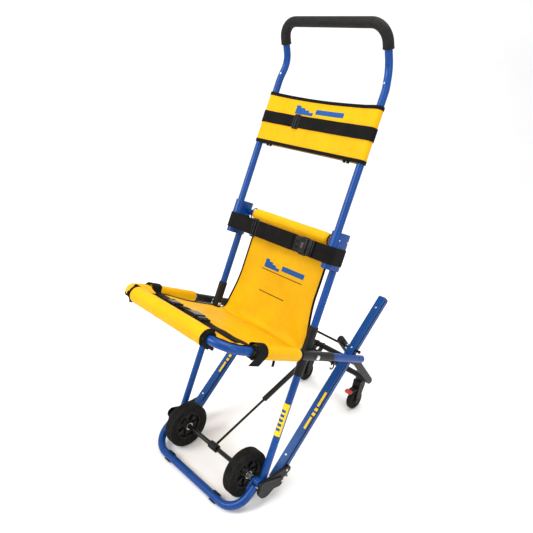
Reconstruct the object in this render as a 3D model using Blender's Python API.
"""Stair chair: a folding evacuation chair with a sliding handle, stair tracks, front wheels and rear castors.

The sitter faces -Y and +X is the sitter's left. Metres, +Z up, the chair stands on z = 0 with its origin at
the middle of its footprint. The fixed frame is drawn at rest, as it stands ready for use on a level floor.
Every body that moves hangs under an empty that sits on its joint's axis.
"""

import math

import bmesh
import bpy
from mathutils import Matrix, Vector
from mathutils.geometry import convex_hull_2d

# ---------------------------------------------------------------- driving dimensions
GAP = 0.0003                     # between pieces that touch
SIDES = 12                       # facets round a tube

# Half widths: everything follows the spacing of the main tubes
TUBE_X = 0.207
LOOP_X = TUBE_X
WHEEL_X = TUBE_X - 0.058
SEAT_X = TUBE_X + 0.033
RAIL_X = TUBE_X + 0.001
ARM_X = TUBE_X - 0.035
CASTOR_X = TUBE_X - 0.085
GRIP_X = TUBE_X - 0.013
BACK_ROLL_HALF = TUBE_X - 0.042
BACK_SLING_HALF = TUBE_X - 0.037
SEAT_SLING_HALF = TUBE_X - 0.017
FRONT_ROLL_HALF = TUBE_X - 0.035

# Front axle and wheels
AXLE_Z = 0.0755
AXLE_RADIUS = 0.006
WHEEL_RADIUS = 0.0745
WHEEL_WIDTH = 0.036
RIM_RADIUS = WHEEL_RADIUS - 0.0275
HUB_RADIUS = AXLE_RADIUS + 0.008

# Main tubes, leaning back
LEAN = math.radians(25.0)
TUBE_RADIUS = 0.0111
TUBE_WALL = 0.0015
TUBE_BEHIND_AXLE = TUBE_RADIUS + 0.0069
TUBE_FOOT = 0.0                  # along the tube, from the point nearest the axle
LUG_BLOCK_RADIUS = 0.0125        # lug on the tube's foot
LUG_BLOCK_HALF = 0.0105
SLEEVE_RADIUS = TUBE_RADIUS + 0.0029
SLEEVE_FROM = 0.341
SLEEVE_TO = 0.494

# Guides and the handle that slides through them
HANDLE_FORWARD = 0.039           # handle tubes ahead of the main tubes
LOBE_RADIUS = TUBE_RADIUS + 0.0044
UPPER_GUIDE_TOP = 0.777
UPPER_GUIDE_LENGTH = 0.045
LOWER_GUIDE_LENGTH = 0.060
GUIDE_STOP_GAP = 0.005
GUIDE_FLOOR = 0.004              # closed end of a blind bore
HANDLE_BEND_FROM = 1.190
HANDLE_BEND_TO = 1.249
GRIP_Y = 0.486                   # top bar, behind the axle
GRIP_Z = 1.336
GRIP_RADIUS = TUBE_RADIUS + 0.0047
GRIP_LEG = 0.067                 # grip length down each side
GRIP_CORNER = 0.052
KINK_RADIUS = 0.090

# Back: cross bar, roll, sling, chest strap, headrest
BACK_BAR_ALONG = UPPER_GUIDE_TOP - 0.030
BACK_BAR_RADIUS = 0.009
BACK_ROLL_RADIUS = BACK_BAR_RADIUS + 0.012
SLING_THICKNESS = 0.003
BACK_SLING_FROM = 0.400
BACK_SLING_BEHIND = 0.020
STRAP_WIDTH = 0.050
STRAP_THICKNESS = 0.0025
STRAP_EASE = 0.0004
BUCKLE_X = 0.120
BUCKLE_LENGTH = 0.072
BUCKLE_DEPTH = 0.0095
HEADREST_FROM = 0.977
HEADREST_HEIGHT = 0.164
HEADREST_THICKNESS = 0.002
HEAD_STRAP_FROM = 1.042
HEAD_STRAP_WIDTH = 0.038
HEAD_STRAP_THICKNESS = 0.0016

# Floor loop
LOOP_RADIUS = 0.0127
LOOP_REACH = 0.093               # front bar ahead of the axle
LOOP_CORNER = 0.065
LOOP_TAIL = 0.016                # tube ends ahead of the axle
LOOP_EAR_RADIUS = AXLE_RADIUS + 0.0055
LOOP_EAR_INNER = 0.0165          # flat ears that hold the axle, inboard of the tubes
LOOP_EAR_OUTER = LUG_BLOCK_HALF + GAP
PAD_THICKNESS = 0.003            # rubber under the loop
PAD_SPREAD = 0.0035              # past the tube on each side
PAD_LENGTH = 0.024
PAD_X = LOOP_X - LOOP_CORNER - PAD_LENGTH / 2 - 0.0135

# Seat
PIVOT_ALONG = 0.4166             # seat pivot, along the main tubes
SEAT_TILT = math.radians(26.3)
SEAT_RADIUS = 0.012
SEAT_FRONT = 0.3637              # front bar ahead of the pivot
SEAT_REAR = 0.264                # tube ends behind the pivot
SEAT_CORNER = 0.065
ARM_SLEEVE_RADIUS = SEAT_RADIUS + 0.002
ARM_SLEEVE_FRONT = 0.072
ARM_SLEEVE_REAR = 0.100
BOLT_RADIUS = 0.004
BOLT_HEAD_RADIUS = 0.007
BOLT_HEAD = 0.004
BOLT_COLLAR_RADIUS = 0.009
FRONT_ROLL_RADIUS = SEAT_RADIUS + 0.016
SIDE_ROLL_RADIUS = SEAT_RADIUS + 0.0095
SIDE_ROLL_FRONT = 0.275
SIDE_ROLL_INNER = SEAT_X - TUBE_X - LOBE_RADIUS - 0.0037   # flattened to pass the guides
SEAT_SLING_DROP = 0.004
LAP_STRAP_AHEAD = 0.240
LAP_STRAP_WIDTH = 0.038
LAP_STRAP_DROP = 0.045

# Stair tracks
RAIL_SLOPE = math.radians(41.2)
RAIL_WIDTH = 0.027
COVER_THICKNESS = 0.004
RAIL_DROP = 0.052                # cover's top face below the axle's level along the rail
RAIL_FROM = 0.030
RAIL_TO = 0.700
CHEEK_THICKNESS = 0.0027
PULLEY_RADIUS = 0.008
CHEEK_HEIGHT = PULLEY_RADIUS * 2
WEB_THICKNESS = 0.003
TAB_LENGTH = 0.020
PULLEY_INSET = 0.010
PULLEY_PIN = 0.003
BELT_THICKNESS = 0.0038
BELT_WIDTH = 0.019
BRACKET_THICKNESS = 0.010
BRACKET_RADIUS = 0.029
BRACKET_ARM = 0.078
BRACKET_TIP_RADIUS = 0.011

AXLE_HALF = RAIL_X + RAIL_WIDTH / 2 + BRACKET_THICKNESS - 0.001

# Rear frame that carries the castors
SHAFT_ALONG = 0.500
SHAFT_RADIUS = 0.004
SHAFT_HALF = RAIL_X + RAIL_WIDTH / 2 + 0.014
ARM_SLOPE = math.radians(53.9)
ARM_THICKNESS = 0.016
ARM_HALF_WIDTH = 0.013
ARM_ABOVE = 0.037
ARM_BELOW = 0.264
ARM_EDGE = 0.004
CROSS_BAR_DOWN = 0.1365
CROSS_BAR_RADIUS = 0.010
CASTOR_BAR_RADIUS = 0.0105
LUG_REACH = 0.031
STRUT_HEAD_RADIUS = 0.009
LUG_X = STRUT_HEAD_RADIUS + 0.0015
LUG_THICKNESS = 0.005
LUG_RADIUS = STRUT_HEAD_RADIUS

# Castors
CASTOR_BEHIND_BAR = 0.0152       # stem axis behind the castor bar
CASTOR_RADIUS = 0.0375
CASTOR_WIDTH = 0.022
CASTOR_TRAIL = 0.026
CASTOR_PIN = 0.004
FORK_SLOT_TOP = CASTOR_RADIUS * 2 + 0.014
FORK_TOP = FORK_SLOT_TOP + 0.0225
FORK_WALL = 0.003
FORK_SLOT = CASTOR_WIDTH / 2 + 0.0018
MOUNT_RADIUS = 0.016
MOUNT_RISE = 0.0054              # mount's top above the castor bar's axis
BRAKE_BEHIND = 0.017              # brake pedal's hinge, from the castor's hub
BRAKE_ABOVE = CASTOR_RADIUS + 0.008
BRAKE_LENGTH = 0.057
BRAKE_THICKNESS = 0.004
BRAKE_BARREL = 0.0032
BRAKE_SLOPE = math.radians(2.0)
BRAKE_HALF = FORK_SLOT - 0.0013

# Gas strut
STRUT_EYE_RADIUS = 0.013
STRUT_EYE_HALF = 0.011
STRUT_ROD_RADIUS = 0.004
STRUT_TUBE_RADIUS = 0.009
STRUT_TUBE_FROM = 0.232
STRUT_ROD_TO = 0.325

# Lengthwise places follow from the front roll's face and the castor mounts' back
CHEEK_LEVEL = RAIL_DROP + COVER_THICKNESS + PULLEY_RADIUS + BELT_THICKNESS + 2 * GAP
FRONT_FACE = (TUBE_BEHIND_AXLE * math.cos(LEAN) + PIVOT_ALONG * math.sin(LEAN)
              - SEAT_FRONT * math.cos(SEAT_TILT) - FRONT_ROLL_RADIUS)
REAR_FACE = (SHAFT_ALONG * math.cos(RAIL_SLOPE) + CHEEK_LEVEL * math.sin(RAIL_SLOPE)
             + ARM_BELOW * math.cos(ARM_SLOPE) + CASTOR_BEHIND_BAR + MOUNT_RADIUS)
AXLE_Y = -(FRONT_FACE + REAR_FACE) / 2

# ---------------------------------------------------------------- finishes
FINISHES = {                     # colour, roughness, metallic
    "blue_powder_coat": ((0.010, 0.080, 0.350), 0.35, 0.0),
    "yellow_cloth": ((0.800, 0.480, 0.010), 0.60, 0.0),
    "black_webbing": ((0.010, 0.010, 0.010), 0.80, 0.0),
    "black_plastic": ((0.015, 0.015, 0.015), 0.45, 0.0),
    "black_paint": ((0.012, 0.012, 0.012), 0.40, 0.0),
    "foam_grip": ((0.020, 0.020, 0.018), 0.90, 0.0),
    "rubber": ((0.016, 0.016, 0.015), 0.85, 0.0),
    "steel": ((0.550, 0.560, 0.580), 0.30, 1.0),
    "red_plastic": ((0.550, 0.030, 0.020), 0.45, 0.0),
}

RIGHT = Vector((1.0, 0.0, 0.0))


# ---------------------------------------------------------------- places
def axle_point(x=0.0):
    return Vector((x, AXLE_Y, AXLE_Z))


TUBE_UP = Vector((0.0, math.sin(LEAN), math.cos(LEAN)))
TUBE_FRONT = Vector((0.0, -math.cos(LEAN), math.sin(LEAN)))
ARM_BACK = Vector((0.0, math.cos(SEAT_TILT), -math.sin(SEAT_TILT)))
ARM_UP = Vector((0.0, math.sin(SEAT_TILT), math.cos(SEAT_TILT)))
RAIL_UP = Vector((0.0, math.cos(RAIL_SLOPE), math.sin(RAIL_SLOPE)))
RAIL_DOWN = Vector((0.0, math.sin(RAIL_SLOPE), -math.cos(RAIL_SLOPE)))
REAR_DOWN = Vector((0.0, math.cos(ARM_SLOPE), -math.sin(ARM_SLOPE)))
REAR_FRONT = Vector((0.0, -math.sin(ARM_SLOPE), -math.cos(ARM_SLOPE)))


def on_tube(x, along, ahead=0.0):
    """A point by its distance up the main tubes and ahead of their plane."""
    return axle_point(x) + TUBE_UP * along + TUBE_FRONT * (ahead - TUBE_BEHIND_AXLE)


def on_arm(x, behind, above=0.0):
    """A point by its distance behind the seat pivot and above the seat arms."""
    return on_tube(x, PIVOT_ALONG) + ARM_BACK * behind + ARM_UP * above


def on_rail(x, along, below):
    """A point by its distance up the rails and below the line through the axle."""
    return axle_point(x) + RAIL_UP * along + RAIL_DOWN * below


def on_rear(x, down, ahead=0.0):
    """A point by its distance down the rear arms from their shaft."""
    return on_rail(x, SHAFT_ALONG, CHEEK_LEVEL) + REAR_DOWN * down + REAR_FRONT * ahead


CASTOR_STEM = on_rear(0.0, ARM_BELOW) + Vector((0.0, CASTOR_BEHIND_BAR, 0.0))
CASTOR_HUB = Vector((0.0, CASTOR_STEM.y - CASTOR_TRAIL, CASTOR_RADIUS))
STRUT_TOP = on_rear(0.0, CROSS_BAR_DOWN, LUG_REACH)
STRUT_AXIS = (STRUT_TOP - axle_point()).normalized()
STRUT_LENGTH = (STRUT_TOP - axle_point()).length
UPPER_PULLEY = RAIL_TO - PULLEY_INSET
LOWER_PULLEY = RAIL_FROM + PULLEY_INSET
LOWER_GUIDE_TOP = UPPER_GUIDE_TOP - UPPER_GUIDE_LENGTH - GUIDE_STOP_GAP
LOWER_GUIDE_FROM = LOWER_GUIDE_TOP - LOWER_GUIDE_LENGTH

PIVOTS = {
    "handle": on_tube(0.0, LOWER_GUIDE_TOP, HANDLE_FORWARD),
    "wheel_left": axle_point(-WHEEL_X),
    "wheel_right": axle_point(WHEEL_X),
    "seat": on_tube(0.0, PIVOT_ALONG),
    "rails": axle_point(),
    "rear_frame": on_rear(0.0, 0.0),
    "strut_rod": axle_point(),
    "strut_tube": STRUT_TOP,
}
for side_name, side_sign in (("left", -1), ("right", 1)):
    stem = CASTOR_STEM + RIGHT * side_sign * CASTOR_X
    hub = CASTOR_HUB + RIGHT * side_sign * CASTOR_X
    PIVOTS["castor_" + side_name] = Vector((stem.x, stem.y, FORK_TOP))
    PIVOTS["castor_wheel_" + side_name] = hub
    PIVOTS["upper_pulley_" + side_name] = on_rail(side_sign * RAIL_X, UPPER_PULLEY, CHEEK_LEVEL)
    PIVOTS["lower_pulley_" + side_name] = on_rail(side_sign * RAIL_X, LOWER_PULLEY, CHEEK_LEVEL)
    PIVOTS["brake_" + side_name] = hub + Vector((0.0, BRAKE_BEHIND, BRAKE_ABOVE))

SIDES_OF_CHAIR = (("left", -1), ("right", 1))


# ---------------------------------------------------------------- scene helpers
def clear_scene():
    for item in list(bpy.data.objects):
        bpy.data.objects.remove(item, do_unlink=True)


def make_hangers():
    """One empty on each joint's axis."""
    hangers = {}
    for body, place in PIVOTS.items():
        hanger = bpy.data.objects.new("pivot_" + body, None)
        hanger.location = place
        bpy.context.scene.collection.objects.link(hanger)
        hangers[body] = hanger
    return hangers


def paint(item, finish):
    colour, roughness, metallic = FINISHES[finish]
    material = bpy.data.materials.new(item.name + "_" + finish)
    material.use_nodes = True
    shader = material.node_tree.nodes["Principled BSDF"]
    shader.inputs["Base Color"].default_value = (*colour, 1.0)
    shader.inputs["Roughness"].default_value = roughness
    shader.inputs["Metallic"].default_value = metallic
    material.diffuse_color = (*colour, 1.0)
    item.data.materials.append(material)


def as_object(name, mesh_work, finish=None, body=None):
    """Finishes a bmesh as a named object, under its body's pivot."""
    bmesh.ops.recalc_face_normals(mesh_work, faces=mesh_work.faces)
    mesh = bpy.data.meshes.new(name)
    mesh_work.to_mesh(mesh)
    mesh_work.free()
    mesh.shade_smooth()
    mesh.set_sharp_from_angle(angle=math.radians(35.0))
    item = bpy.data.objects.new(name, mesh)
    bpy.context.scene.collection.objects.link(item)
    if body:
        mesh.transform(Matrix.Translation(-PIVOTS[body]))
        item.parent = HANGERS[body]
    if finish:
        paint(item, finish)
    else:
        item.hide_render = True
        item.display_type = "WIRE"
    return item


def boolean(item, tool, operation="DIFFERENCE"):
    step = item.modifiers.new(operation.lower() + "_" + tool.name, "BOOLEAN")
    step.operation = operation
    step.object = tool
    step.solver = "EXACT"


# ---------------------------------------------------------------- shapes
def bore(radius, sides=SIDES):
    """A faceted hole's radius that clears a shaft by GAP all round."""
    return (radius + GAP) / math.cos(math.pi / sides)


def add_loft(mesh_work, rings, closed=False):
    """Skins rings of points with quads; the ends are capped unless the loft closes on itself."""
    rows = [[mesh_work.verts.new(point) for point in ring] for ring in rings]
    count = len(rows[0])
    last = len(rows) if closed else len(rows) - 1
    for r in range(last):
        lower, upper = rows[r], rows[(r + 1) % len(rows)]
        for k in range(count):
            nxt = (k + 1) % count
            mesh_work.faces.new((lower[k], lower[nxt], upper[nxt], upper[k]))
    if not closed:
        mesh_work.faces.new(rows[0])
        mesh_work.faces.new(rows[-1])


def loft(name, rings, finish=None, body=None, closed=False):
    mesh_work = bmesh.new()
    add_loft(mesh_work, rings, closed)
    return as_object(name, mesh_work, finish, body)


def pair(name, shapes, finish=None, body=None):
    """Two plates in one mesh, which a union with a third shape then joins."""
    mesh_work = bmesh.new()
    for rings in shapes:
        add_loft(mesh_work, rings)
    return as_object(name, mesh_work, finish, body)


def circle(centre, axis, radius, sides=SIDES, start=None):
    """Points round an axis; the first lies towards start."""
    axis = axis.normalized()
    first = start if start is not None else axis.orthogonal()
    first = (first - axis * first.dot(axis)).normalized()
    second = axis.cross(first)
    turn = [2 * math.pi * k / sides for k in range(sides)]
    return [centre + first * radius * math.cos(a) + second * radius * math.sin(a) for a in turn]


def turned(centre, axis, profile, sides=SIDES, start=None):
    """Rings of a turned shape; profile holds (distance along the axis, radius) pairs."""
    axis = axis.normalized()
    return [circle(centre + axis * along, axis, radius, sides, start) for along, radius in profile]


def bent_path(corners, radius, steps=5):
    """A polyline with its inner corners rounded to arcs of the given radius."""
    points = [corners[0]]
    for before, corner, after in zip(corners, corners[1:], corners[2:]):
        into = (corner - before).normalized()
        out = (after - corner).normalized()
        half = into.angle(out) / 2
        setback = radius * math.tan(half)
        centre_way = (out - into).normalized()
        centre = corner + centre_way * (radius / math.cos(half))
        start = corner - into * setback - centre
        axis = into.cross(out).normalized()
        for k in range(steps + 1):
            points.append(centre + Matrix.Rotation(2 * half * k / steps, 3, axis) @ start)
    points.append(corners[-1])
    return points


def path_rings(path, radius, sides=SIDES):
    """Circles along a path, carried along without twist."""
    rings = []
    start = None
    for k, point in enumerate(path):
        before = path[max(k - 1, 0)]
        after = path[min(k + 1, len(path) - 1)]
        way = (after - before).normalized()
        start = way.orthogonal() if start is None else start - way * start.dot(way)
        rings.append(circle(point, way, radius, sides, start))
        start = rings[-1][0] - point
    return rings


def hollow(path, outer, inner, sides=SIDES):
    """Rings of an open-ended pipe: out along the outside and back through the bore."""
    return path_rings(path, outer, sides) + path_rings(path, inner, sides)[::-1]


def outline_rings(outline, low_x, high_x):
    """A flat outline in the YZ plane, pushed along X."""
    return [[Vector((x, point.y, point.z)) for point in outline] for x in (low_x, high_x)]


def hull_outline(circles, steps=24):
    """The convex outline round circles given as (centre, radius), in the YZ plane."""
    points = []
    for centre, radius in circles:
        for k in range(steps):
            angle = 2 * math.pi * k / steps
            points.append(centre + Vector((0, math.cos(angle), math.sin(angle))) * radius)
    flat = [(point.y, point.z) for point in points]
    return [points[k] for k in convex_hull_2d(flat)]


def band_rings(path, outward, wide, thickness):
    """Rings of a strap: path points, their outward normals and the width vector."""
    rings = []
    for point, out in zip(path, outward):
        inner = point - out * thickness / 2
        outer = point + out * thickness / 2
        rings.append([inner, outer, outer + wide, inner + wide])
    return rings


def wrap(centres, radius, place, steps=9):
    """A taut band's path round circles at (x, ahead, first angle, last angle); place makes the 3-D point."""
    path, outward = [], []
    for x, ahead, first, last in centres:
        for k in range(steps + 1):
            angle = first + (last - first) * k / steps
            out = Vector((math.cos(angle), math.sin(angle)))
            path.append(place(x + out.x * radius, ahead + out.y * radius))
            outward.append(RIGHT * out.x + TUBE_FRONT * out.y)
    return path, outward


# ---------------------------------------------------------------- cutters
def make_cutters():
    """Holes that more than one piece shares."""
    reach = RIGHT * 2 * AXLE_HALF
    cutters = {
        "axle_hole": loft("axle_hole", turned(axle_point() - reach / 2, RIGHT,
                          ((0, bore(AXLE_RADIUS)), (2 * AXLE_HALF, bore(AXLE_RADIUS))))),
        "shaft_hole": loft("shaft_hole", turned(on_rear(-AXLE_HALF, 0), RIGHT,
                           ((0, bore(SHAFT_RADIUS)), (2 * AXLE_HALF, bore(SHAFT_RADIUS)))), body="rails"),
        "bolt_hole": loft("bolt_hole", turned(on_tube(-0.3, PIVOT_ALONG), RIGHT,
                          ((0, bore(BOLT_RADIUS)), (0.6, bore(BOLT_RADIUS))))),
    }
    for side, sign in SIDES_OF_CHAIR:
        x = sign * TUBE_X
        blind = ((0, bore(TUBE_RADIUS)), (UPPER_GUIDE_TOP - GUIDE_FLOOR + 0.06, bore(TUBE_RADIUS)))
        cutters["main_bore_" + side] = loft(
            "main_bore_" + side, turned(on_tube(x, -0.06), TUBE_UP, blind, start=RIGHT))
        handle_from = LOWER_GUIDE_FROM + GUIDE_FLOOR
        cutters["handle_bore_" + side] = loft(
            "handle_bore_" + side, turned(on_tube(x, handle_from, HANDLE_FORWARD), TUBE_UP,
                                          ((0, bore(TUBE_RADIUS)), (0.2, bore(TUBE_RADIUS))), start=RIGHT))
    return cutters


# ---------------------------------------------------------------- fixed frame
def make_main_tubes(cutters):
    """Each tube has a lug welded on its foot, which the axle passes through."""
    outline = hull_outline(((axle_point(), LUG_BLOCK_RADIUS), (on_tube(0, 0), LUG_BLOCK_RADIUS)))
    half = LUG_BLOCK_HALF
    for side, sign in SIDES_OF_CHAIR:
        x = sign * TUBE_X
        ends = [on_tube(x, along) for along in (TUBE_FOOT, UPPER_GUIDE_TOP - GUIDE_FLOOR - GAP)]
        tube = loft("main_tube_" + side, hollow(ends, TUBE_RADIUS, TUBE_RADIUS - TUBE_WALL),
                    "blue_powder_coat", closed=True)
        boolean(tube, loft("axle_lug_" + side, outline_rings(outline, x - half, x + half)), "UNION")
        boolean(tube, cutters["axle_hole"])
        boolean(tube, cutters["bolt_hole"])
        ends = [on_tube(x, along) for along in (SLEEVE_FROM, SLEEVE_TO)]
        sleeve = loft("tube_sleeve_" + side, hollow(ends, SLEEVE_RADIUS, bore(TUBE_RADIUS)), "black_plastic",
                      closed=True)
        boolean(sleeve, cutters["bolt_hole"])


def guide_rings(x, low, high):
    """A two-lobed block round a main tube and a handle tube."""
    lobes = [(x, 0.0, math.pi, 2 * math.pi), (x, HANDLE_FORWARD, 0.0, math.pi)]
    rings = []
    for along in (low, high):
        path, _ = wrap(lobes, LOBE_RADIUS, lambda px, ahead: on_tube(px, along, ahead))
        rings.append(path)
    return rings


def make_upper_guides(cutters):
    for side, sign in SIDES_OF_CHAIR:
        rings = guide_rings(sign * TUBE_X, UPPER_GUIDE_TOP - UPPER_GUIDE_LENGTH, UPPER_GUIDE_TOP)
        guide = loft("upper_guide_" + side, rings, "blue_powder_coat")
        boolean(guide, cutters["main_bore_" + side])
        boolean(guide, cutters["handle_bore_" + side])


def make_back():
    half = TUBE_X - LOBE_RADIUS - GAP
    ends = [on_tube(x, BACK_BAR_ALONG) for x in (-half, half)]
    loft("back_bar", hollow(ends, BACK_BAR_RADIUS, BACK_BAR_RADIUS - TUBE_WALL), "blue_powder_coat",
         closed=True)
    edge = 0.006
    profile = ((-BACK_ROLL_HALF, bore(BACK_BAR_RADIUS)), (-BACK_ROLL_HALF, BACK_ROLL_RADIUS - edge / 2),
               (-BACK_ROLL_HALF + edge, BACK_ROLL_RADIUS), (BACK_ROLL_HALF - edge, BACK_ROLL_RADIUS),
               (BACK_ROLL_HALF, BACK_ROLL_RADIUS - edge / 2), (BACK_ROLL_HALF, bore(BACK_BAR_RADIUS)))
    loft("back_roll", turned(on_tube(0, BACK_BAR_ALONG), RIGHT, profile), "yellow_cloth", closed=True)
    top = BACK_BAR_ALONG - BACK_ROLL_RADIUS - GAP
    rings = []
    for ahead in (-BACK_SLING_BEHIND - SLING_THICKNESS, -BACK_SLING_BEHIND):
        rings.append([on_tube(x, along, ahead) for x, along in (
            (-BACK_SLING_HALF, BACK_SLING_FROM), (BACK_SLING_HALF, BACK_SLING_FROM),
            (BACK_SLING_HALF, top), (-BACK_SLING_HALF, top))])
    loft("back_sling", rings, "yellow_cloth")


def make_axle():
    profile = ((-AXLE_HALF, AXLE_RADIUS), (AXLE_HALF, AXLE_RADIUS))
    loft("axle", turned(axle_point(), RIGHT, profile), "black_paint")


def make_floor_loop(cutters):
    """A bent tube; its ends carry flat ears on the axle, beside the main tubes' lugs."""
    front = Vector((0, AXLE_Y - LOOP_REACH, LOOP_RADIUS + PAD_THICKNESS))
    way = (front - axle_point()).normalized()
    tail = axle_point() + way * LOOP_TAIL
    corners = [tail - RIGHT * LOOP_X, front - RIGHT * LOOP_X, front + RIGHT * LOOP_X, tail + RIGHT * LOOP_X]
    path = bent_path(corners, LOOP_CORNER, steps=6)
    loop = loft("floor_loop", hollow(path, LOOP_RADIUS, LOOP_RADIUS - TUBE_WALL), "blue_powder_coat",
                closed=True)
    ear_end = axle_point() + way * LOOP_TAIL * 2
    ear = hull_outline(((axle_point(), LOOP_EAR_RADIUS), (ear_end, LOOP_EAR_RADIUS - 0.001)))
    for side, sign in SIDES_OF_CHAIR:
        low, high = sorted((sign * (LOOP_X - LOOP_EAR_INNER), sign * (LOOP_X - LOOP_EAR_OUTER)))
        boolean(loop, loft("loop_ear_" + side, outline_rings(ear, low, high)), "UNION")
    boolean(loop, cutters["axle_hole"])
    make_loop_pads(front)


def make_loop_pads(front):
    """Saddles that cradle the loop's front bar from below."""
    hold = bore(LOOP_RADIUS)
    side = hold + PAD_SPREAD
    mouth = math.radians(12)
    arc = [math.pi + mouth + (math.pi - 2 * mouth) * k / 10 for k in range(11)]
    outline = [front + Vector((0, math.cos(a), math.sin(a))) * hold for a in arc]
    for across, share in ((side, 0.1), (side, 0.55), (side * 0.7, 1.0),
                          (-side * 0.7, 1.0), (-side, 0.55), (-side, 0.1)):
        outline.append(front + Vector((0, across, -share * front.z)))
    for name, sign in SIDES_OF_CHAIR:
        low = sign * PAD_X - PAD_LENGTH / 2
        loft("loop_pad_" + name, outline_rings(outline, low, low + PAD_LENGTH), "rubber")


def make_pivot_bolts():
    """Shoulder bolts: their middle collar spaces the seat arms from the main tubes."""
    inner = TUBE_X - SLEEVE_RADIUS - GAP
    outer = SEAT_X + ARM_SLEEVE_RADIUS + GAP
    collar = (TUBE_X + SLEEVE_RADIUS + GAP, SEAT_X - ARM_SLEEVE_RADIUS - GAP)
    profile = ((inner - BOLT_HEAD, BOLT_HEAD_RADIUS), (inner, BOLT_HEAD_RADIUS), (inner, BOLT_RADIUS),
               (collar[0], BOLT_RADIUS), (collar[0], BOLT_COLLAR_RADIUS), (collar[1], BOLT_COLLAR_RADIUS),
               (collar[1], BOLT_RADIUS), (outer, BOLT_RADIUS), (outer, BOLT_HEAD_RADIUS),
               (outer + BOLT_HEAD * 0.7, BOLT_HEAD_RADIUS), (outer + BOLT_HEAD, BOLT_HEAD_RADIUS * 0.6))
    for side, sign in SIDES_OF_CHAIR:
        loft("pivot_bolt_" + side, turned(on_tube(0, PIVOT_ALONG), RIGHT * sign, profile), "steel")


def make_chest_strap():
    low = UPPER_GUIDE_TOP - UPPER_GUIDE_LENGTH - STRAP_WIDTH
    radius = LOBE_RADIUS + STRAP_EASE + STRAP_THICKNESS / 2
    turns = [(TUBE_X, 0.0, -math.pi, 0.0), (TUBE_X, HANDLE_FORWARD, 0.0, math.pi / 2),
             (-TUBE_X, HANDLE_FORWARD, math.pi / 2, math.pi), (-TUBE_X, 0.0, math.pi, 2 * math.pi)]
    path, outward = wrap(turns, radius, lambda x, ahead: on_tube(x, low, ahead))
    loft("chest_strap", band_rings(path, outward, TUBE_UP * STRAP_WIDTH, STRAP_THICKNESS), "black_webbing")
    back = HANDLE_FORWARD + radius + STRAP_THICKNESS / 2 + GAP
    margin = 0.001
    rings = []
    for ahead, inset in ((back, 0.0), (back + BUCKLE_DEPTH * 0.6, 0.0), (back + BUCKLE_DEPTH, 0.004)):
        rings.append([on_tube(BUCKLE_X + x, low + along, ahead) for x, along in (
            (-BUCKLE_LENGTH / 2 + inset, -margin + inset), (BUCKLE_LENGTH / 2 - inset, -margin + inset),
            (BUCKLE_LENGTH / 2 - inset, STRAP_WIDTH + margin - inset),
            (-BUCKLE_LENGTH / 2 + inset, STRAP_WIDTH + margin - inset))])
    loft("chest_buckle", rings, "black_plastic")


# ---------------------------------------------------------------- sliding handle
def handle_corners():
    """One side of the handle from its foot to the top bar's corner, then mirrored."""
    top = axle_point() + Vector((0, GRIP_Y, GRIP_Z - AXLE_Z))
    foot = LOWER_GUIDE_FROM + GUIDE_FLOOR + GAP
    one_side = [on_tube(TUBE_X, foot, HANDLE_FORWARD), on_tube(TUBE_X, HANDLE_BEND_FROM, HANDLE_FORWARD),
                on_tube(GRIP_X + 0.002, HANDLE_BEND_TO, HANDLE_FORWARD), top + RIGHT * GRIP_X]
    other = [Vector((-point.x, point.y, point.z)) for point in reversed(one_side)]
    return one_side + other


def make_handle():
    corners = handle_corners()
    lower = bent_path(corners[:4], KINK_RADIUS, steps=3)[:-1]
    top = bent_path(corners[2:6], GRIP_CORNER, steps=6)[1:-1]
    rest = [Vector((-point.x, point.y, point.z)) for point in reversed(lower)]
    path = lower + top + rest
    loft("handle_tube", hollow(path, TUBE_RADIUS, TUBE_RADIUS - TUBE_WALL), "blue_powder_coat",
         "handle", closed=True)
    down = (corners[2] - corners[3]).normalized()
    leg = corners[3] + down * GRIP_LEG
    grip = [leg] + top + [Vector((-leg.x, leg.y, leg.z))]
    loft("handle_grip", hollow(grip, GRIP_RADIUS, bore(TUBE_RADIUS)), "foam_grip", "handle", closed=True)


def make_lower_guides(cutters):
    for side, sign in SIDES_OF_CHAIR:
        rings = guide_rings(sign * TUBE_X, LOWER_GUIDE_FROM, LOWER_GUIDE_TOP)
        guide = loft("lower_guide_" + side, rings, "blue_powder_coat", "handle")
        boolean(guide, cutters["main_bore_" + side])
        boolean(guide, cutters["handle_bore_" + side])


def belt_round_tubes(name, along, width, radius, thickness, finish):
    turns = [(TUBE_X, HANDLE_FORWARD, -math.pi / 2, math.pi / 2),
             (-TUBE_X, HANDLE_FORWARD, math.pi / 2, 3 * math.pi / 2)]
    path, outward = wrap(turns, radius, lambda x, ahead: on_tube(x, along, ahead))
    loft(name, band_rings(path, outward, TUBE_UP * width, thickness), finish, "handle", closed=True)


def make_headrest():
    radius = TUBE_RADIUS + STRAP_EASE + HEADREST_THICKNESS / 2
    belt_round_tubes("headrest", HEADREST_FROM, HEADREST_HEIGHT, radius, HEADREST_THICKNESS, "yellow_cloth")
    outer = radius + (HEADREST_THICKNESS + HEAD_STRAP_THICKNESS) / 2 + STRAP_EASE
    belt_round_tubes("head_strap", HEAD_STRAP_FROM, HEAD_STRAP_WIDTH, outer, HEAD_STRAP_THICKNESS,
                     "black_webbing")


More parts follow.
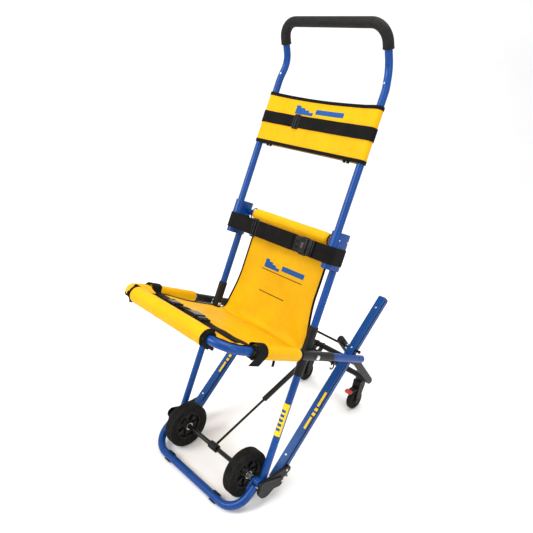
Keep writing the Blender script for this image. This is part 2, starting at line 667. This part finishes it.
# ---------------------------------------------------------------- front wheels
def make_front_wheels():
    half = WHEEL_WIDTH / 2
    tyre = ((-half * 0.8, RIM_RADIUS + GAP * 2), (-half, RIM_RADIUS + 0.010),
            (-half * 0.92, WHEEL_RADIUS - 0.006), (-half * 0.55, WHEEL_RADIUS),
            (half * 0.55, WHEEL_RADIUS), (half * 0.92, WHEEL_RADIUS - 0.006),
            (half, RIM_RADIUS + 0.010), (half * 0.8, RIM_RADIUS + GAP * 2))
    flange = RIM_RADIUS - 0.005
    web = 0.005
    hub = half - 0.001
    rim = ((-half * 0.78, RIM_RADIUS), (half * 0.78, RIM_RADIUS), (half * 0.78, flange),
           (web, flange - 0.003), (web, HUB_RADIUS + 0.002), (hub, HUB_RADIUS),
           (hub, bore(AXLE_RADIUS)), (-hub, bore(AXLE_RADIUS)), (-hub, HUB_RADIUS),
           (-web, HUB_RADIUS + 0.002), (-web, flange - 0.003), (-half * 0.78, flange))
    down = Vector((0, 0, -1))
    for side, sign in SIDES_OF_CHAIR:
        body = "wheel_" + side
        loft("wheel_tyre_" + side, turned(PIVOTS[body], RIGHT, tyre, 28, down), "rubber", body, closed=True)
        loft("wheel_rim_" + side, turned(PIVOTS[body], RIGHT, rim, 28, down), "black_plastic", body,
             closed=True)


# ---------------------------------------------------------------- seat
def make_seat_tube(cutters):
    corners = [on_arm(-SEAT_X, SEAT_REAR), on_arm(-SEAT_X, -SEAT_FRONT),
               on_arm(SEAT_X, -SEAT_FRONT), on_arm(SEAT_X, SEAT_REAR)]
    path = bent_path(corners, SEAT_CORNER, steps=6)
    tube = loft("seat_tube", hollow(path, SEAT_RADIUS, SEAT_RADIUS - TUBE_WALL), "blue_powder_coat", "seat",
                closed=True)
    boolean(tube, cutters["bolt_hole"])
    for side, sign in SIDES_OF_CHAIR:
        ends = [on_arm(sign * SEAT_X, behind) for behind in (-ARM_SLEEVE_FRONT, ARM_SLEEVE_REAR)]
        sleeve = loft("arm_sleeve_" + side, hollow(ends, ARM_SLEEVE_RADIUS, bore(SEAT_RADIUS)),
                      "black_plastic", "seat", closed=True)
        boolean(sleeve, cutters["bolt_hole"])


def make_seat_rolls():
    edge = 0.006
    full, cut = FRONT_ROLL_RADIUS, bore(SEAT_RADIUS)
    profile = ((-FRONT_ROLL_HALF, cut), (-FRONT_ROLL_HALF, full - edge / 2), (-FRONT_ROLL_HALF + edge, full),
               (FRONT_ROLL_HALF - edge, full), (FRONT_ROLL_HALF, full - edge / 2), (FRONT_ROLL_HALF, cut))
    loft("front_roll", turned(on_arm(0, -SEAT_FRONT), RIGHT, profile, 16), "yellow_cloth", "seat",
         closed=True)
    full = SIDE_ROLL_RADIUS
    ends = (-SIDE_ROLL_FRONT, -ARM_SLEEVE_FRONT - GAP * 10)
    profile = ((ends[0], cut), (ends[0], full - edge / 2), (ends[0] + edge, full),
               (ends[1] - edge, full), (ends[1], full - edge / 2), (ends[1], cut))
    for side, sign in SIDES_OF_CHAIR:
        rings = turned(on_arm(sign * SEAT_X, 0), ARM_BACK, profile, 16, start=RIGHT)
        limit = SEAT_X - SIDE_ROLL_INNER
        for ring in rings:
            for point in ring:
                point.x = sign * max(sign * point.x, limit)
        loft("side_roll_" + side, rings, "yellow_cloth", "seat", closed=True)


def make_seat_sling():
    front = -SEAT_FRONT + FRONT_ROLL_RADIUS + GAP
    back = -0.012
    rings = []
    for above in (-SEAT_SLING_DROP - SLING_THICKNESS, -SEAT_SLING_DROP):
        rings.append([on_arm(x, behind, above) for x, behind in (
            (-SEAT_SLING_HALF, front), (SEAT_SLING_HALF, front),
            (SEAT_SLING_HALF, back - 0.02), (BACK_SLING_HALF, back),
            (-BACK_SLING_HALF, back), (-SEAT_SLING_HALF, back - 0.02))])
    loft("seat_sling", rings, "yellow_cloth", "seat")


def make_lap_strap():
    """Lies across the seat, over both side rolls and down their outsides."""
    radius = SIDE_ROLL_RADIUS + STRAP_EASE + STRAP_THICKNESS / 2
    low = STRAP_THICKNESS / 2 + STRAP_EASE - SEAT_SLING_DROP
    inner = SEAT_X - SIDE_ROLL_INNER - STRAP_EASE - STRAP_THICKNESS / 2
    first = math.acos((inner - SEAT_X) / radius)
    half = [(inner - 0.004, low, 0.0, 1.0), (inner, low + 0.004, -0.7071, 0.7071)]
    for k in range(7):
        angle = first * (1 - k / 6)
        out = (math.cos(angle), math.sin(angle))
        half.append((SEAT_X + radius * out[0], radius * out[1], *out))
    half.append((SEAT_X + radius, -LAP_STRAP_DROP, 1.0, 0.0))
    points = [(-x, up, -out_x, out_up) for x, up, out_x, out_up in reversed(half)] + half
    start = -LAP_STRAP_AHEAD - LAP_STRAP_WIDTH / 2
    path = [on_arm(x, start, up) for x, up, out_x, out_up in points]
    outward = [RIGHT * out_x + ARM_UP * out_up for x, up, out_x, out_up in points]
    loft("lap_strap", band_rings(path, outward, ARM_BACK * LAP_STRAP_WIDTH, STRAP_THICKNESS),
         "black_webbing", "seat")


# ---------------------------------------------------------------- stair tracks
def cheek_outline():
    """A long plate with round ends and tabs that carry the cover."""
    half = CHEEK_HEIGHT / 2
    tab_top = RAIL_DROP + COVER_THICKNESS + GAP
    first, last = RAIL_FROM + half, RAIL_TO - half
    outline = []
    for k in range(9):
        angle = math.pi / 2 + math.pi * k / 8
        outline.append((first + half * math.cos(angle), CHEEK_LEVEL + half * math.sin(angle)))
    outline.reverse()
    top = []
    for share in (0.93, 0.64, 0.35, 0.06):
        low = RAIL_FROM + share * (RAIL_TO - RAIL_FROM)
        high = low + TAB_LENGTH
        top += [(high, CHEEK_LEVEL - half), (high, tab_top), (low, tab_top), (low, CHEEK_LEVEL - half)]
    for k in range(9):
        angle = math.pi / 2 - math.pi * k / 8
        outline.append((last + half * math.cos(angle), CHEEK_LEVEL + half * math.sin(angle)))
    return [on_rail(0, along, below) for along, below in outline + top]


def make_rails(cutters):
    half = RAIL_WIDTH / 2
    holes = []
    for along, name in ((UPPER_PULLEY, "upper_pin_hole"), (LOWER_PULLEY, "lower_pin_hole")):
        cut = ((-AXLE_HALF, bore(PULLEY_PIN)), (AXLE_HALF, bore(PULLEY_PIN)))
        holes.append(loft(name, turned(on_rail(0, along, CHEEK_LEVEL), RIGHT, cut), body="rails"))
    outline = cheek_outline()
    for side, sign in SIDES_OF_CHAIR:
        middle = sign * RAIL_X
        cover = [on_rail(0, along, below) for along, below in (
            (RAIL_FROM, RAIL_DROP), (RAIL_TO - 0.004, RAIL_DROP),
            (RAIL_TO, RAIL_DROP + COVER_THICKNESS * 0.5), (RAIL_TO, RAIL_DROP + COVER_THICKNESS),
            (RAIL_FROM, RAIL_DROP + COVER_THICKNESS))]
        loft("rail_cover_" + side, outline_rings(cover, middle - half, middle + half),
             "blue_powder_coat", "rails")
        plates = [outline_rings(outline, middle - half, middle - half + CHEEK_THICKNESS),
                  outline_rings(outline, middle + half - CHEEK_THICKNESS, middle + half)]
        channel = pair("rail_channel_" + side, plates, "blue_powder_coat", "rails")
        boolean(channel, rail_web(side, middle), "UNION")
        for hole in holes:
            boolean(channel, hole)
        boolean(channel, cutters["shaft_hole"])
        make_belt(side, middle)


def rail_web(side, middle):
    """Joins a rail's two cheeks between its pulleys."""
    clear = PULLEY_RADIUS + BELT_THICKNESS
    half = RAIL_WIDTH / 2 - CHEEK_THICKNESS / 2
    web = [on_rail(0, along, CHEEK_LEVEL + off) for along, off in (
        (LOWER_PULLEY + clear, -WEB_THICKNESS / 2), (UPPER_PULLEY - clear, -WEB_THICKNESS / 2),
        (UPPER_PULLEY - clear, WEB_THICKNESS / 2), (LOWER_PULLEY + clear, WEB_THICKNESS / 2))]
    return loft("rail_web_" + side, outline_rings(web, middle - half, middle + half), body="rails")


def make_belt(side, middle):
    radius = PULLEY_RADIUS + GAP + BELT_THICKNESS / 2
    path, outward = [], []
    for along, first in ((UPPER_PULLEY, -math.pi / 2), (LOWER_PULLEY, math.pi / 2)):
        for k in range(9):
            angle = first + math.pi * k / 8
            out = RAIL_UP * math.cos(angle) + RAIL_DOWN * math.sin(angle)
            path.append(on_rail(middle - BELT_WIDTH / 2, along, CHEEK_LEVEL) + out * radius)
            outward.append(out)
    loft("track_belt_" + side, band_rings(path, outward, RIGHT * BELT_WIDTH, BELT_THICKNESS),
         "rubber", "rails", closed=True)


def make_pulleys():
    roller = BELT_WIDTH / 2
    pin = RAIL_WIDTH / 2 - GAP
    profile = ((-pin, PULLEY_PIN), (-roller, PULLEY_PIN), (-roller, PULLEY_RADIUS), (roller, PULLEY_RADIUS),
               (roller, PULLEY_PIN), (pin, PULLEY_PIN))
    for end in ("upper", "lower"):
        for side, sign in SIDES_OF_CHAIR:
            name = end + "_pulley_" + side
            loft(name, turned(PIVOTS[name], RIGHT, profile), "black_plastic", name)


def make_foot_brackets(cutters):
    """Black plates that hang the rails on the axle."""
    inner = RAIL_X + RAIL_WIDTH / 2 + GAP
    disc = on_rail(0, -0.003, 0.020)
    arm = on_rail(0, BRACKET_ARM, CHEEK_LEVEL)
    outline = hull_outline(((disc, BRACKET_RADIUS), (arm, BRACKET_TIP_RADIUS)))
    for side, sign in SIDES_OF_CHAIR:
        low, high = sorted((sign * inner, sign * (inner + BRACKET_THICKNESS)))
        bracket = loft("foot_bracket_" + side, outline_rings(outline, low, high), "black_plastic", "rails")
        boolean(bracket, cutters["axle_hole"])


def make_rear_shaft():
    tip = 0.006
    profile = ((-SHAFT_HALF, SHAFT_RADIUS + 0.0015), (-SHAFT_HALF + tip, SHAFT_RADIUS + 0.0015),
               (-SHAFT_HALF + tip, SHAFT_RADIUS), (SHAFT_HALF - tip, SHAFT_RADIUS),
               (SHAFT_HALF - tip, SHAFT_RADIUS + 0.0015), (SHAFT_HALF, SHAFT_RADIUS + 0.0015))
    loft("rear_shaft", turned(on_rear(0, 0), RIGHT, profile), "black_paint", "rails")


# ---------------------------------------------------------------- rear frame
def make_rear_frame(cutters):
    half = ARM_THICKNESS / 2
    ends = (on_rear(0, -ARM_ABOVE), on_rear(0, ARM_BELOW))
    for side, sign in SIDES_OF_CHAIR:
        rings = []
        for offset, inset in ((-half, ARM_EDGE), (-half + ARM_EDGE, 0),
                              (half - ARM_EDGE, 0), (half, ARM_EDGE)):
            x = sign * ARM_X + offset
            arcs = []
            for centre, first in ((ends[0], math.pi / 2), (ends[1], -math.pi / 2)):
                for k in range(9):
                    angle = first + math.pi * k / 8
                    out = REAR_DOWN * math.cos(angle) + REAR_FRONT * math.sin(angle)
                    arcs.append(centre + RIGHT * x + out * (ARM_HALF_WIDTH - inset))
            rings.append(arcs)
        arm = loft("rear_arm_" + side, rings, "black_paint", "rear_frame")
        boolean(arm, cutters["shaft_hole"])
    reach = ARM_X - half - GAP
    add_bar("rear_cross_bar", CROSS_BAR_DOWN, CROSS_BAR_RADIUS, reach, [strut_clevis()])
    add_bar("castor_bar", ARM_BELOW, CASTOR_BAR_RADIUS, reach, castor_mounts())


def add_bar(name, down, radius, reach, fittings):
    """A cross bar with its fittings welded on, bored through from end to end."""
    middle = on_rear(0, down)
    bar = loft(name, turned(middle, RIGHT, ((-reach, radius), (reach, radius))), "black_paint", "rear_frame")
    for fitting in fittings:
        boolean(bar, fitting, "UNION")
    inside = radius - TUBE_WALL
    far = reach + TUBE_WALL
    bore_rings = turned(middle, RIGHT, ((-far, inside), (far, inside)))
    boolean(bar, loft(name + "_bore", bore_rings, body="rear_frame"))


def strut_clevis():
    """Two ears that take the gas strut's top end between them."""
    outline = hull_outline(((on_rear(0, CROSS_BAR_DOWN), CROSS_BAR_RADIUS + 0.002), (STRUT_TOP, LUG_RADIUS)))
    ears = [outline_rings(outline, *sorted((sign * LUG_X, sign * (LUG_X + LUG_THICKNESS))))
            for side, sign in SIDES_OF_CHAIR]
    return pair("strut_ears", ears, body="rear_frame")


def castor_mounts():
    low = FORK_TOP + 0.001
    high = on_rear(0, ARM_BELOW).z + MOUNT_RISE
    profile = ((low, MOUNT_RADIUS - 0.002), (low + 0.002, MOUNT_RADIUS), (high - 0.002, MOUNT_RADIUS),
               (high, MOUNT_RADIUS - 0.002))
    mounts = []
    for side, sign in SIDES_OF_CHAIR:
        centre = CASTOR_STEM + RIGHT * sign * CASTOR_X
        centre.z = 0.0
        mounts.append(loft("castor_mount_" + side, turned(centre, Vector((0, 0, 1)), profile, 18),
                           body="rear_frame"))
    return mounts


def make_castors():
    for side, sign in SIDES_OF_CHAIR:
        make_castor(side, sign * CASTOR_X)


def make_castor(side, x):
    stem = Vector((x, CASTOR_STEM.y, 0))
    hub = CASTOR_HUB + RIGHT * x
    body = "castor_" + side
    half = FORK_SLOT + FORK_WALL
    crown = [Vector((0, stem.y + y, z)) for y, z in (
        (-0.015, FORK_TOP), (0.015, FORK_TOP), (0.0145, FORK_TOP - 0.022), (-0.016, FORK_TOP - 0.022))]
    flat = [(point.y, point.z) for point in crown]
    flat += [(hub.y + 0.0115 * math.cos(a), hub.z + 0.0115 * math.sin(a))
             for a in [2 * math.pi * k / 16 for k in range(16)]]
    outline = [Vector((0, *flat[k])) for k in convex_hull_2d(flat)]
    fork = loft("castor_fork_" + side, outline_rings(outline, x - half, x + half), "black_plastic", body)
    slot = [Vector((0, hub.y + y, z)) for y, z in (
        (-0.08, -0.01), (0.08, -0.01), (0.08, FORK_SLOT_TOP), (-0.08, FORK_SLOT_TOP))]
    boolean(fork, loft("fork_slot_" + side, outline_rings(slot, x - FORK_SLOT, x + FORK_SLOT), body=body))
    pin = ((-half - 0.002, CASTOR_PIN * 1.5), (-half + 0.001, CASTOR_PIN * 1.5), (-half + 0.001, CASTOR_PIN),
           (half - 0.001, CASTOR_PIN), (half - 0.001, CASTOR_PIN * 1.5), (half + 0.002, CASTOR_PIN * 1.5))
    boolean(fork, loft("fork_pin_" + side, turned(hub, RIGHT, pin), body=body), "UNION")

    edge = CASTOR_WIDTH / 2
    bore_radius = bore(CASTOR_PIN)
    tread = ((-edge, bore_radius), (-edge, 0.012), (-edge * 0.6, 0.014),
             (-edge * 0.6, CASTOR_RADIUS - 0.010), (-edge * 0.8, CASTOR_RADIUS - 0.003),
             (-edge * 0.4, CASTOR_RADIUS), (edge * 0.4, CASTOR_RADIUS),
             (edge * 0.8, CASTOR_RADIUS - 0.003), (edge * 0.6, CASTOR_RADIUS - 0.010),
             (edge * 0.6, 0.014), (edge, 0.012), (edge, bore_radius))
    down = Vector((0, 0, -1))
    loft("castor_wheel_" + side, turned(hub, RIGHT, tread, 24, down), "rubber", "castor_wheel_" + side,
         closed=True)

    hinge = PIVOTS["brake_" + side]
    tip = hinge - Vector((0, math.cos(BRAKE_SLOPE), math.sin(BRAKE_SLOPE))) * BRAKE_LENGTH
    toe = tip + Vector((0, -0.003, 0.005))
    half = BRAKE_THICKNESS / 2
    outline = hull_outline(((hinge, BRAKE_BARREL), (tip, half), (toe, half * 0.7)), steps=12)
    loft("castor_brake_" + side, outline_rings(outline, x - BRAKE_HALF, x + BRAKE_HALF), "red_plastic",
         "brake_" + side)


# ---------------------------------------------------------------- gas strut
def make_strut(cutters):
    rod = loft("strut_rod", turned(axle_point(), STRUT_AXIS, (
        (STRUT_EYE_RADIUS * 0.7, STRUT_ROD_RADIUS), (STRUT_ROD_TO, STRUT_ROD_RADIUS)), 12),
        "black_paint", "strut_rod")
    eye = loft("strut_eye", turned(axle_point(), RIGHT, (
        (-STRUT_EYE_HALF, STRUT_EYE_RADIUS - 0.001), (-STRUT_EYE_HALF + 0.001, STRUT_EYE_RADIUS),
        (STRUT_EYE_HALF - 0.001, STRUT_EYE_RADIUS), (STRUT_EYE_HALF, STRUT_EYE_RADIUS - 0.001)), 16),
        body="strut_rod")
    boolean(rod, eye, "UNION")
    boolean(rod, cutters["axle_hole"])
    depth = STRUT_LENGTH - 0.020
    tube = loft("strut_tube", turned(axle_point(), STRUT_AXIS, (
        (depth, bore(STRUT_ROD_RADIUS)), (STRUT_TUBE_FROM, bore(STRUT_ROD_RADIUS)),
        (STRUT_TUBE_FROM, STRUT_TUBE_RADIUS - 0.0015), (STRUT_TUBE_FROM + 0.002, STRUT_TUBE_RADIUS),
        (STRUT_LENGTH - 0.004, STRUT_TUBE_RADIUS)), SIDES), "black_paint", "strut_tube")
    head = loft("strut_head", turned(STRUT_TOP, RIGHT, (
        (-STRUT_HEAD_RADIUS, STRUT_HEAD_RADIUS), (STRUT_HEAD_RADIUS, STRUT_HEAD_RADIUS)), 16),
        body="strut_tube")
    boolean(tube, head, "UNION")


# ---------------------------------------------------------------- build
clear_scene()
HANGERS = make_hangers()
CUTTERS = make_cutters()
make_main_tubes(CUTTERS)
make_upper_guides(CUTTERS)
make_back()
make_axle()
make_floor_loop(CUTTERS)
make_pivot_bolts()
make_chest_strap()
make_handle()
make_lower_guides(CUTTERS)
make_headrest()
make_front_wheels()
make_seat_tube(CUTTERS)
make_seat_rolls()
make_seat_sling()
make_lap_strap()
make_rails(CUTTERS)
make_pulleys()
make_foot_brackets(CUTTERS)
make_rear_shaft()
make_rear_frame(CUTTERS)
make_castors()
make_strut(CUTTERS)
bpy.context.view_layer.update()
